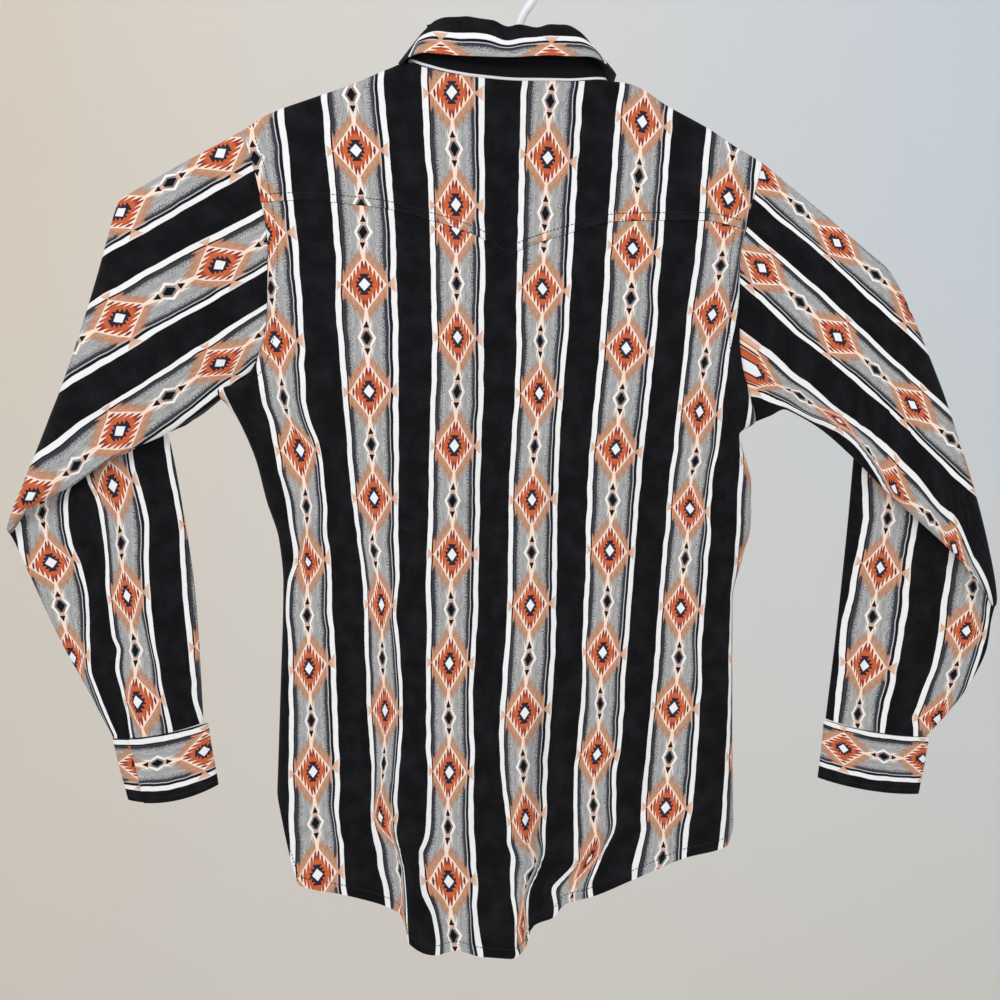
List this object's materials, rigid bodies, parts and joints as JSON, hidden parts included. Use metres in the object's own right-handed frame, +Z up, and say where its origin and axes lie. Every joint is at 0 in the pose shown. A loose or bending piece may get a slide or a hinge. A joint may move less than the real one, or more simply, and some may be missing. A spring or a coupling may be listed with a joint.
{
  "type": "western snap shirt on a hanger",
  "caption": "Long-sleeved western snap shirt with a pointed back yoke, hanging buttoned on a tubular plastic hanger with its sleeves folded at the elbows.",
  "frame": {"origin": "underside of the hook's top, where it rests on a rod or a nail", "axes": "+Z up, the back of the shirt faces -Y and its front faces +Y, the wearer's left is towards -X"},
  "size_m": [0.9423, 0.0719, 0.9615],
  "materials": {
    "striped_cotton": "matte",
    "snap_cap": "gloss",
    "hanger_plastic": "satin"
  },
  "bodies": {
    "root": {"back": "striped_cotton", "back_yoke": "striped_cotton", "front_left": "striped_cotton", "front_right": "striped_cotton", "placket": "striped_cotton", "sleeve_left": "striped_cotton", "sleeve_right": "striped_cotton", "cuff_left": "striped_cotton", "cuff_right": "striped_cotton", "collar_stand": "striped_cotton", "collar_leaf": "striped_cotton", "placket_snap_1": "snap_cap", "placket_snap_2": "snap_cap", "placket_snap_3": "snap_cap", "placket_snap_4": "snap_cap", "placket_snap_5": "snap_cap", "placket_snap_6": "snap_cap", "placket_snap_7": "snap_cap", "cuff_left_snap_1": "snap_cap", "cuff_left_snap_2": "snap_cap", "cuff_right_snap_1": "snap_cap", "cuff_right_snap_2": "snap_cap", "hanger_frame": "hanger_plastic", "hanger_hook": "hanger_plastic"}
  },
  "joints": []
}
